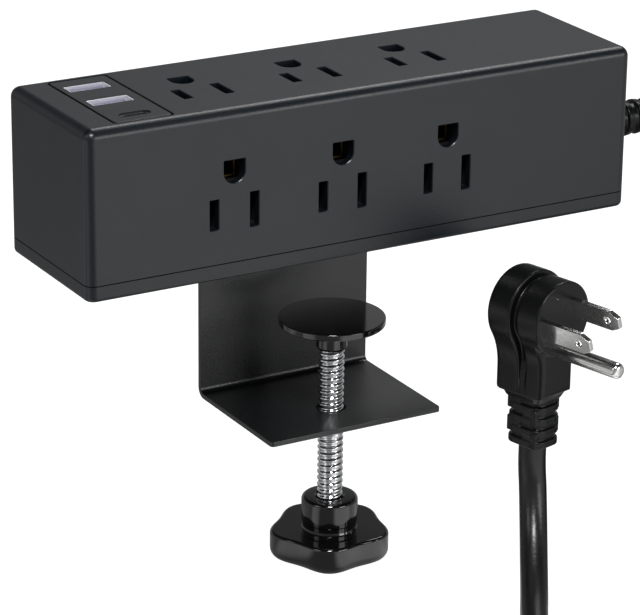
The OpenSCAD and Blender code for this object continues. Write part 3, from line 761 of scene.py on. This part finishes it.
class STRIP_OT_cord(bpy.types.Operator):
    """Lays the cord from the strip into its coil and up to the plug"""

    bl_idname = "powerstrip.cord"
    bl_label = "Cord"

    def execute(self, context):
        curve = bpy.data.curves.new("power_cord", "CURVE")
        curve.dimensions = "3D"
        curve.bevel_depth = CORD_D / 2 * MM
        curve.bevel_resolution = 5
        curve.resolution_u = 6
        curve.use_fill_caps = True
        route = RUN_ROUTE + coil_route() + RISE_ROUTE
        line = curve.splines.new("BEZIER")
        line.bezier_points.add(len(route) - 1)
        for point, at in zip(line.bezier_points, route):
            point.co = Vector(at) * MM
            point.handle_left_type = point.handle_right_type = "AUTO"
        cord = bpy.data.objects.new("power_cord", curve)
        context.scene.collection.objects.link(cord)
        curve.materials.append(finish("jacket"))
        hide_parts("cord_run", "cord_coil", "cord_rise")
        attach(cord, "root")
        return {"FINISHED"}


class STRIP_OT_reliefs(bpy.types.Operator):
    """Turns the ribbed strain relief where the cord leaves the strip"""

    bl_idname = "powerstrip.reliefs"
    bl_label = "Strain relief"

    def execute(self, context):
        bm = bmesh.new()
        centre = Vector((0, (RELIEF_LOW.y + RELIEF_HIGH.y) / 2, (RELIEF_LOW.z + RELIEF_HIGH.z) / 2))
        face, end = SHELL_HIGH.x, RELIEF_HIGH.x
        profile = [(0, face - 2, 0), (5.8, face - 2, 0), (5.8, face + 0.02, 0), (7.5, face + 0.02, 0.3),
                   (7.5, face + 2.2, 0.7), (6.7, face + 2.6, 0.4)]
        ribs, widest, taper, groove = 7, 6.6, 1.5, 0.9
        first, last = face + 5, end - 5
        for i in range(ribs):
            at = first + (last - first) * i / (ribs - 1)
            r = widest - taper * (at - face) / (end - face)
            profile += [(r, at - 1.2, 0.3), (r - groove, at - 0.9, 0.25), (r - groove, at + 0.9, 0.25),
                        (r, at + 1.2, 0.3)]
        profile += [(5, end - 1, 0.6), (4.15, end, 0), (0, end, 0)]
        turned(bm, rounded(profile, closed=False, steps=3), centre, axis=(1, 0, 0), steps=48)
        piece(bm, "strip_relief", finish("vinyl"), ["cord_strain_relief"], "root")
        return {"FINISHED"}


class STRIP_OT_tie(bpy.types.Operator):
    """Wraps the storage tie round the coil"""

    bl_idname = "powerstrip.tie"
    bl_label = "Storage tie"

    def execute(self, context):
        bm = bmesh.new()
        angle, width, slack, strap = math.radians(108), 11.4, 1.6, 0.7
        out = Vector((math.cos(angle), math.sin(angle), 0))
        across = Matrix(((out.x, 0, -out.y), (out.y, 0, out.x), (0, 1, 0))).to_4x4()
        wide, high = 2 * TURN_GAP + CORD_D + slack, TURN_GAP + CORD_D + slack
        middle = COIL_AT + out * COIL_R + Vector((0, 0, COIL_LOW + TURN_GAP / 2))
        place = Matrix.Translation(middle) @ across @ Matrix.Translation((0, 0, -width / 2))
        verts = [bm.verts.new(place @ Vector((x, y, 0))) for x, y in round_rect(wide, high, 4.6, steps=8)]
        edges = [bm.edges.new((a, b)) for a, b in zip(verts, verts[1:] + verts[:1])]
        grown = bmesh.ops.extrude_edge_only(bm, edges=edges)["geom"]
        bmesh.ops.translate(bm, vec=place.to_3x3() @ Vector((0, 0, width)),
                            verts=[v for v in grown if isinstance(v, bmesh.types.BMVert)])
        bmesh.ops.recalc_face_normals(bm, faces=bm.faces[:])
        bm = walled(bm, strap)
        # the strap's loose end, pressed on the outer side
        tail = Matrix.Translation((wide / 2 + 0.15, -1, 0))
        prism(bm, round_rect(0.6, 11, 0.28, steps=3), place @ tail, width)
        piece(bm, "coil_tie", finish("strap"), ["cord_tie"], "root")
        return {"FINISHED"}


# ---------------------------------------------------------------- housing

FOOT_RADIUS = 1.5
SEAM_GAP = 0.3


def strip_form(bm, radius):
    """The whole outer form of the strip, closed."""
    block(bm, (SHELL_LOW.x, FRONT, COVER_LOW.z), (SHELL_HIGH.x, BACK, TOP))

    def near_bottom(co):
        return co.z < COVER_LOW.z + 0.01

    upper = [e for e in bm.edges if not all(near_bottom(v.co) for v in e.verts)]
    soften(bm, upper, radius, 8)
    soften(bm, edges_where(bm, near_bottom), FOOT_RADIUS, 5)


def on_front(x, z):
    """A frame on the front face: X along the strip, Y up, Z out."""
    return Matrix.Translation((x, FRONT, z)) @ quarter("X")


def outlet_openings(bm, place, chamfer, depth):
    """Cutters for an outlet's two slots and ground hole."""
    hot, neutral, ground = (2.8, 8.8), (2.8, 10.2), 3.35
    for side, (w, h) in ((-SLOT_X, hot), (SLOT_X, neutral)):
        at_slot = place @ Matrix.Translation((side, 0, 0))
        flared(bm, round_rect(w, h, 0.25, steps=3), at_slot, depth, chamfer)
    half_round = rounded([(-ground, ground, 0.35), (-ground, -ground, ground - 0.01),
                          (ground, -ground, ground - 0.01), (ground, ground, 0.35)], steps=10)
    flared(bm, half_round, place @ Matrix.Translation((0, GROUND_UP, 0)), depth, chamfer)


class STRIP_OT_housing(bpy.types.Operator):
    """Builds the housing with its outlet openings, and the bottom cover"""

    bl_idname = "powerstrip.housing"
    bl_label = "Housing and cover"

    def execute(self, context):
        sizes = context.scene.strip_sizes
        self.housing(sizes)
        self.cover(sizes)
        return {"FINISHED"}

    def housing(self, sizes):
        bm = bmesh.new()
        strip_form(bm, sizes.edge_radius)
        cut_off(bm, SEAM, -1)
        bmesh.ops.recalc_face_normals(bm, faces=bm.faces[:])
        bm = walled(bm, sizes.wall)
        through = sizes.wall + 1
        cutter = bmesh.new()
        for x in OUTLET_XS:
            for place in (on_front(x, FRONT_SLOT_Z), Matrix.Translation((x, TOP_SLOT_Y, TOP))):
                outlet_openings(cutter, place, sizes.slot_chamfer, through)
        middle = (PANEL_LOW + PANEL_HIGH) / 2
        size = PANEL_HIGH - PANEL_LOW
        grow = 2 * sizes.panel_gap
        at_panel = Matrix.Translation((middle.x, middle.y, TOP))
        flared(cutter, round_rect(size.x + grow, size.y + grow, 1.2), at_panel, 1.5, 0.15)
        bm = carved(bm, cutter)
        cutter = bmesh.new()
        flared(cutter, round_rect(size.x - 3, size.y - 2.6, 1), at_panel, through, 0.15)
        entry = (RELIEF_LOW + RELIEF_HIGH) / 2
        out = Matrix.Translation((SHELL_HIGH.x, entry.y, entry.z)) @ quarter("Y")
        flared(cutter, round_rect(12, 12, 5.99, steps=10), out, through, 0.2)
        bm = carved(bm, cutter)
        piece(bm, "strip_housing", finish("housing_satin"), ["housing_shell"], "root")

    def cover(self, sizes):
        bm = bmesh.new()
        strip_form(bm, sizes.edge_radius)
        seam = SEAM - SEAM_GAP
        cut_off(bm, seam, 1)
        bmesh.ops.recalc_face_normals(bm, faces=bm.faces[:])
        bm = walled(bm, sizes.wall)
        # rim that locates inside the housing
        rim = bmesh.new()
        inset = sizes.wall + 0.1
        low = Vector((SHELL_LOW.x + inset, FRONT + inset, seam - 1.6))
        high = Vector((SHELL_HIGH.x - inset, BACK - inset, SEAM + 1))
        block(rim, low, high)
        bmesh.ops.delete(rim, geom=[f for f in rim.faces if abs(f.normal.z) > 0.5], context="FACES_ONLY")
        join(bm, walled(rim, 1.4))
        cutter = bmesh.new()
        screw_low, screw_high = cad_box("cover_screws")
        head = 2.8
        for x in (screw_low.x + head, screw_high.x - head):
            for y in (screw_low.y + head, screw_high.y - head):
                turned(cutter, [(0, -1), (3.15, -1), (3.15, 1.6), (1.8, 1.6), (1.8, 4), (0, 4)],
                       (x, y, COVER_LOW.z), steps=32)
        bm = carved(bm, cutter)
        piece(bm, "strip_cover", finish("cover_satin"), ["bottom_cover"], "root")


# ---------------------------------------------------------------- USB panel

PORT_GAP = 0.24
PORT_SHEET = 0.35
CONTACT_XS = (-3.5, -1.25, 1.25, 3.5)


class STRIP_OT_usb_panel(bpy.types.Operator):
    """Builds the USB panel with its port shells and tongues"""

    bl_idname = "powerstrip.usb_panel"
    bl_label = "USB panel"

    def execute(self, context):
        low, high = PANEL_LOW, PANEL_HIGH
        middle = (low + high) / 2
        ports = self.ports()
        bm = bmesh.new()
        far = prism(bm, round_rect(high.x - low.x, high.y - low.y, 1),
                    Matrix.Translation((middle.x, middle.y, low.z)), high.z - low.z)
        soften(bm, edges_of(bm, far), 0.2, 2)
        cutter = bmesh.new()
        for x, y, w, h, r in ports:
            hole = round_rect(w + PORT_GAP, h + PORT_GAP, r)
            flared(cutter, hole, Matrix.Translation((x, y, high.z)), 3, 0.12)
        bm = carved(bm, cutter)
        piece(bm, "usb_panel", finish("panel_satin"), ["usb_faceplate"], "root")

        shells, tongues = bmesh.new(), bmesh.new()
        bottom, lip = cad_box("usb_a_shells")[0].z, TOP - 0.12
        for x, y, w, h, r in ports[:2]:
            prism(shells, round_rect(w, h, r), Matrix.Translation((x, y, bottom)), lip - bottom)
            block(tongues, (x - 5.4, y - 0.4, bottom + 1), (x + 5.4, y + 1.5, TOP - 1.1))
        cutter = bmesh.new()
        for x, y, w, h, _ in ports[:2]:
            mouth = round_rect(w - 2 * PORT_SHEET, h - 2 * PORT_SHEET, 0.3)
            flared(cutter, mouth, Matrix.Translation((x, y, lip)), 13.5, 0.1)
        piece(carved(shells, cutter), "usb_port_shells", finish("port_steel"), ["usb_a_shells"], "root")
        soften(tongues, tongues.edges[:], 0.25, 2)
        piece(tongues, "usb_port_tongues", finish("tongue_blue"), ["usb_a_tongues"], "root")
        self.contacts(ports[:2])
        return {"FINISHED"}

    def ports(self):
        """(x, y, width, height, corner radius) of each port's shell, from back to front."""
        low, high = cad_box("usb_a_shells")
        x = (low.x + high.x) / 2
        w, h = high.x - low.x, 5.3
        c_low, c_high = cad_box("usb_c_shell")
        return [(x, high.y - h / 2, w, h, 0.5), (x, low.y + h / 2, w, h, 0.5),
                ((c_low.x + c_high.x) / 2, (c_low.y + c_high.y) / 2, c_high.x - c_low.x,
                 c_high.y - c_low.y, 1.5)]

    def contacts(self, ports):
        """Thin gilt strips on the tongues' fronts."""
        bm = bmesh.new()
        for x, y, *_ in ports:
            for k in CONTACT_XS:
                block(bm, (x + k - 0.5, y - 0.48, TOP - 7), (x + k + 0.5, y - 0.38, TOP - 1.6))
        soften(bm, bm.edges[:], 0.03, 1)
        piece(bm, "usb_port_contacts", finish("contact_brass"), [], "root")


# ---------------------------------------------------------------- clamp

BRACKET_HOLE_XS = (-20, 20)
BRACKET_HOLE_YS = (-12, 14)


class STRIP_OT_bracket(bpy.types.Operator):
    """Bends the clamp bracket from one sheet"""

    bl_idname = "powerstrip.bracket"
    bl_label = "Clamp bracket"

    def execute(self, context):
        low, high = BRACKET_LOW, BRACKET_HIGH
        sheet, bend, inner = 1.6, 3.2, 1.6
        flange = -18
        outline = rounded([
            (low.y, low.z, 0), (high.y, low.z, bend), (high.y, high.z, bend), (flange, high.z, 0),
            (flange, high.z - sheet, 0), (high.y - sheet, high.z - sheet, inner),
            (high.y - sheet, low.z + sheet, inner), (low.y, low.z + sheet, 0)], steps=8)
        bm = bmesh.new()
        along_x = Matrix(((0, 0, 1, low.x), (1, 0, 0, 0), (0, 1, 0, 0), (0, 0, 0, 1)))
        prism(bm, outline, along_x, high.x - low.x)
        # the corners of both front ends
        corners = [e for e in bm.edges if abs(e.verts[0].co.z - e.verts[1].co.z) > sheet - 0.1
                   and abs(e.verts[0].co.y - e.verts[1].co.y) < 0.01 and max(v.co.y for v in e.verts) < 0]
        soften(bm, corners, 1.2, 4)
        cutter = bmesh.new()
        turned(cutter, [(0, -2), (4.5, -2), (4.5, 4), (0, 4)], on_axis(low.z), steps=48)
        for x in BRACKET_HOLE_XS:
            for y in BRACKET_HOLE_YS:
                turned(cutter, [(0, -0.01), (3, -0.01), (1.8, 1.4), (1.8, 4), (0, 4)],
                       (x, y, high.z - sheet), steps=32)
        bm = carved(bm, cutter)
        soften(bm, sharp_edges(bm), 0.22, 2)
        piece(bm, "clamp_frame", finish("powder_coat"), ["clamp_bracket"], "root")
        return {"FINISHED"}


def thread(bm, sizes, low, high):
    """A rounded right-hand thread between two heights, capped at both ends."""
    depth, root = sizes.crest - sizes.root, sizes.root
    shape = [(0, 0), (0.1, 0.03), (0.22, 0.35), (0.32, 0.8), (0.42, 0.97), (0.5, 1), (0.58, 0.97),
             (0.68, 0.8), (0.78, 0.35), (0.9, 0.03), (1, 0)]
    steps = 36
    turns = int((high - low) / sizes.pitch) + 3
    base = low - sizes.pitch
    verts = [bm.verts.new((SCREW_X + root + depth * k, SCREW_Y, base + sizes.pitch * t)) for t, k in shape]
    edges = [bm.edges.new(pair) for pair in zip(verts, verts[1:])]
    bmesh.ops.spin(bm, geom=verts + edges, cent=on_axis(base), axis=(0, 0, 1), use_merge=False,
                   dvec=(0, 0, sizes.pitch / steps), angle=2 * math.pi * turns, steps=steps * turns)
    bmesh.ops.remove_doubles(bm, verts=bm.verts[:], dist=0.002)
    for z, side in ((low, -1), (high, 1)):
        rim = [e for e in cut_off(bm, z, side) if isinstance(e, bmesh.types.BMEdge)]
        bmesh.ops.edgeloop_fill(bm, edges=rim)


class STRIP_OT_screw(bpy.types.Operator):
    """Cuts the clamp screw and turns the pressure pad and its hub"""

    bl_idname = "powerstrip.screw"
    bl_label = "Screw and pad"

    def execute(self, context):
        sizes = context.scene.clamp_sizes
        bm = bmesh.new()
        end = HUB_LOW.z - 0.1
        thread(bm, sizes, KNOB_HIGH.z - 6, end)
        neck = bmesh.new()
        turned(neck, [(0, 0), (2.5, 0), (2.5, 9), (0, 9)], on_axis(end), steps=32)
        join(bm, neck)
        piece(bm, "threaded_rod", finish("chrome"), ["clamp_screw"], "screw", sharp=50)

        radius = (PAD_HIGH.x - PAD_LOW.x) / 2
        top, base = PAD_HIGH.z, PAD_LOW.z
        bm = bmesh.new()
        lathed(bm, [(0, top, 0), (radius, top, 0.35), (radius, base + 0.3, 0.6), (radius - 2, base, 0.6),
                    (3.7, base, 0), (3.7, base + 1.4, 0), (0, base + 1.4, 0)], on_axis(), 4, 96)
        piece(bm, "pad_disc", finish("gloss_black"), ["pressure_pad"], "pad")
        bm = bmesh.new()
        lathed(bm, [(2.6, base, 0), (4.6, base, 0.2), (4.6, HUB_LOW.z + 0.8, 0.4), (4.2, HUB_LOW.z, 0.3),
                    (2.6, HUB_LOW.z, 0), (2.6, base, 0)], on_axis(), 4, 64)
        piece(bm, "pad_swivel", finish("gloss_black"), ["pad_hub"], "pad")
        return {"FINISHED"}


class STRIP_OT_knob(bpy.types.Operator):
    """Shapes the lobed knob and its boss"""

    bl_idname = "powerstrip.knob"
    bl_label = "Knob"

    def execute(self, context):
        sizes = context.scene.clamp_sizes
        tip, notch, disc, points = 18.4, 16.1, 8.9, 160
        outline = []
        for k in range(points):
            a = 2 * math.pi * k / points
            r = (tip + notch) / 2 + (tip - notch) / 2 * math.cos(sizes.lobes * (a + math.radians(120)))
            outline.append((r * math.cos(a), r * math.sin(a)))
        bm = bmesh.new()
        prism(bm, outline, Matrix.Translation(on_axis()), disc)
        soften(bm, edges_where(bm, lambda co: co.z < 0.01), sizes.knob_edge, 7)
        soften(bm, edges_where(bm, lambda co: co.z > disc - 0.01), 0.9, 5)
        boss = bmesh.new()
        top = KNOB_HIGH.z
        lathed(boss, [(0, disc - 1, 0), (8.9, disc - 1, 0), (8.2, disc + 0.6, 0.5), (8.2, 10.8, 0),
                      (8.5, 11.2, 0.25), (8.5, top, 1.1), (4.6, top, 0), (4, top - 0.6, 0),
                      (4, 13, 0), (0, 13, 0)], on_axis(), 5, 96)
        join(bm, boss)
        piece(bm, "lobed_knob", finish("gloss_black"), ["clamp_knob"], "screw")
        return {"FINISHED"}


# ---------------------------------------------------------------- plug

def keyhole(radius, half, foot, blend):
    """The plug's front outline: a round head that flows into a straight neck."""
    rise = math.sqrt((radius + blend) ** 2 - (half + blend) ** 2)
    turn = math.atan2(-rise, half + blend)
    blend_steps, head_steps = 8, 48
    side, head = [], []
    for k in range(blend_steps + 1):
        a = math.pi + turn * k / blend_steps
        side.append((half + blend + blend * math.cos(a), HEAD_Z - rise + blend * math.sin(a)))
    for k in range(1, head_steps):
        a = turn + (math.pi - 2 * turn) * k / head_steps
        head.append((radius * math.cos(a), HEAD_Z + radius * math.sin(a)))
    return [(-half, foot), (half, foot)] + side + head + [(-x, z) for x, z in reversed(side)]


def facing_back(y):
    """A frame across the plug: X to the side, Y up, Z towards its face, at depth y."""
    return Matrix.Translation((0, y, 0)) @ quarter("X")


class STRIP_OT_plug(bpy.types.Operator):
    """Moulds the plug and its grip, and sets its blades and pin"""

    bl_idname = "powerstrip.plug"
    bl_label = "Plug"

    def execute(self, context):
        self.body()
        self.grip()
        self.metal()
        return {"FINISHED"}

    def body(self):
        foot = GRIP_HIGH.z
        bm = bmesh.new()
        # the head's face, and the neck below it
        front = prism(bm, keyhole(FACE_R, FACE_NECK, foot, 14), facing_back(-2.9), -2.9 - FACE_Y - 1.3)
        soften(bm, edges_of(bm, front), 1.5, 5)
        disc = bmesh.new()
        turns = [math.pi * k / 32 for k in range(64)]
        far = prism(disc, [(FACE_R * math.cos(a), HEAD_Z + FACE_R * math.sin(a)) for a in turns],
                    facing_back(-5), -5 - FACE_Y)
        soften(disc, edges_of(disc, far), 0.4, 3)
        # the cap behind, with a softer back edge
        rear = bmesh.new()
        far = prism(rear, keyhole(CAP_R, CAP_NECK, foot, 20), facing_back(CAP_Y), CAP_DEPTH)
        soften(rear, [e for e in rear.edges if not any(v in far for v in e.verts)], 1.7, 6)
        soften(rear, edges_where(rear, lambda co: co.y < CAP_Y - CAP_DEPTH + 0.01), 0.5, 3)
        # the groove between them, which ends above the shoulders
        core = bmesh.new()
        prism(core, keyhole(GROOVE_R, GROOVE_NECK, foot, 17), facing_back(1), 6)
        wedge = block(core, (-6.8, -4, foot), (6.8, 1, foot + 13))
        bmesh.ops.scale(core, vec=(0.8, 1, 1), verts=[v for v in wedge if v.co.z > foot + 1])
        # the shoulders, drawn in to the grip
        collar = bmesh.new()
        mouth = prism(collar, round_rect(13.2, 16.8, 2.4), Matrix.Translation((0, -0.4, foot + 1)), -3.2)
        bmesh.ops.scale(collar, vec=(0.82, 0.8, 1), verts=mouth)
        for part in (disc, rear, core, collar):
            join(bm, part)
        bm = fused(bm, 0.25, 4)
        moved(bm, PLUG)
        piece(bm, "plug_moulding", finish("vinyl"), ["plug_body"], "root", sharp=60)

    def grip(self):
        """Ribs on a core, tied together at alternate corners."""
        low, high = GRIP_LOW.z, GRIP_HIGH.z
        ribs, slot = 5, 1.3
        pitch = (high - low + slot) / ribs
        bm = bmesh.new()
        prism(bm, round_rect(9.2, 11.6, 3), Matrix.Translation((0, GRIP_Y, low)), high - low + 0.8)
        for i in range(ribs):
            foot, head = low + i * pitch, low + (i + 1) * pitch + 1
            rib = bmesh.new()
            prism(rib, round_rect(10.9, 13.3, 3.6), Matrix.Translation((0, GRIP_Y, foot)), pitch - slot)
            soften(rib, sharp_edges(rib, 1.2), 0.35, 3)
            join(bm, rib)
            if i < ribs - 1:
                reach = 5.2 if i % 2 else -5.2
                for x, near, far in ((reach, -6, -1), (-reach, 0, 5)):
                    block(bm, (min(0, x), near, foot), (max(0, x), far, head))
        bm = fused(bm, 0.2, 3)
        moved(bm, PLUG)
        piece(bm, "plug_grip", finish("vinyl"), ["plug_strain_relief"], "root", sharp=60)

    def metal(self):
        clock = Matrix.Translation((0, FACE_Y, HEAD_Z)) @ Matrix.Rotation(FACE_TURN, 4, "Y")
        length, half, tip = BLADE_LENGTH, 3.2, 3
        bm = bmesh.new()
        outline = rounded([(2, -half, 0), (-length + tip, -half, 1), (-length, -1.7, 0.6),
                           (-length, 1.7, 0.6), (-length + tip, half, 1), (2, half, 0)], steps=4)
        for side in (-SLOT_X, SLOT_X):
            across = Matrix(((0, 0, 1, side - 0.75), (1, 0, 0, 0), (0, 1, 0, 0), (0, 0, 0, 1)))
            prism(bm, outline, clock @ across, 1.5)
        cutter = bmesh.new()
        for side in (-SLOT_X, SLOT_X):
            hole = clock @ Matrix.Translation((side - 2, -11.7, 0)) @ quarter("Y")
            prism(cutter, round_rect(2.4, 2.4, 1.19), hole, 4)
        bm = carved(bm, cutter)
        soften(bm, sharp_edges(bm), 0.22, 2)
        moved(bm, PLUG)
        piece(bm, "plug_blade_pair", finish("nickel"), ["plug_blades"], "root")
        bm = bmesh.new()
        lathed(bm, [(0, -2, 0), (PIN_R, -2, 0), (PIN_R, PIN_LENGTH, 1.5), (0, PIN_LENGTH, 0)],
               (0, 0, 0), 6, 48)
        moved(bm, PLUG @ clock @ Matrix.Translation((0, 0, -GROUND_UP)) @ quarter("X"))
        piece(bm, "plug_pin", finish("nickel"), ["plug_ground_pin"], "root")


# ---------------------------------------------------------------- carried-over CAD nodes

class STRIP_OT_inside(bpy.types.Operator):
    """Gives the frame's own pieces their finishes"""

    bl_idname = "powerstrip.inside"
    bl_label = "Inner pieces"

    def execute(self, context):
        for name, nodes in CARRIED.items():
            for node in nodes:
                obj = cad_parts[node]
                if not obj.data.materials:
                    obj.data.materials.append(None)
                for slot in obj.material_slots:
                    slot.material = finish(name)
        return {"FINISHED"}


class STRIP_PT_panel(bpy.types.Panel):
    """The power strip's settings and steps"""

    bl_idname = "STRIP_PT_panel"
    bl_label = "Power Strip"
    bl_space_type = "VIEW_3D"
    bl_region_type = "UI"
    bl_category = "Power Strip"

    def draw(self, context):
        for settings in (context.scene.strip_sizes, context.scene.clamp_sizes, context.scene.strip_colours):
            box = self.layout.box()
            for name in settings.__annotations__:
                box.prop(settings, name)
        for step in STEPS:
            self.layout.operator(step.bl_idname)


STEPS = (STRIP_OT_stage, STRIP_OT_reliefs, STRIP_OT_tie, STRIP_OT_plug, STRIP_OT_cord, STRIP_OT_housing,
         STRIP_OT_usb_panel, STRIP_OT_bracket, STRIP_OT_screw, STRIP_OT_knob, STRIP_OT_inside)
CLASSES = (StripSizes, ClampSizes, StripColours, *STEPS, STRIP_PT_panel)


def register():
    for cls in CLASSES:
        bpy.utils.register_class(cls)
    bpy.types.Scene.strip_sizes = PointerProperty(type=StripSizes)
    bpy.types.Scene.clamp_sizes = PointerProperty(type=ClampSizes)
    bpy.types.Scene.strip_colours = PointerProperty(type=StripColours)


def unregister():
    del bpy.types.Scene.strip_colours
    del bpy.types.Scene.clamp_sizes
    del bpy.types.Scene.strip_sizes
    for cls in reversed(CLASSES):
        bpy.utils.unregister_class(cls)


def main():
    register()
    for step in STEPS:
        area, name = step.bl_idname.split(".")
        getattr(getattr(bpy.ops, area), name)()
    bpy.context.view_layer.update()


if __name__ == "__main__":
    main()
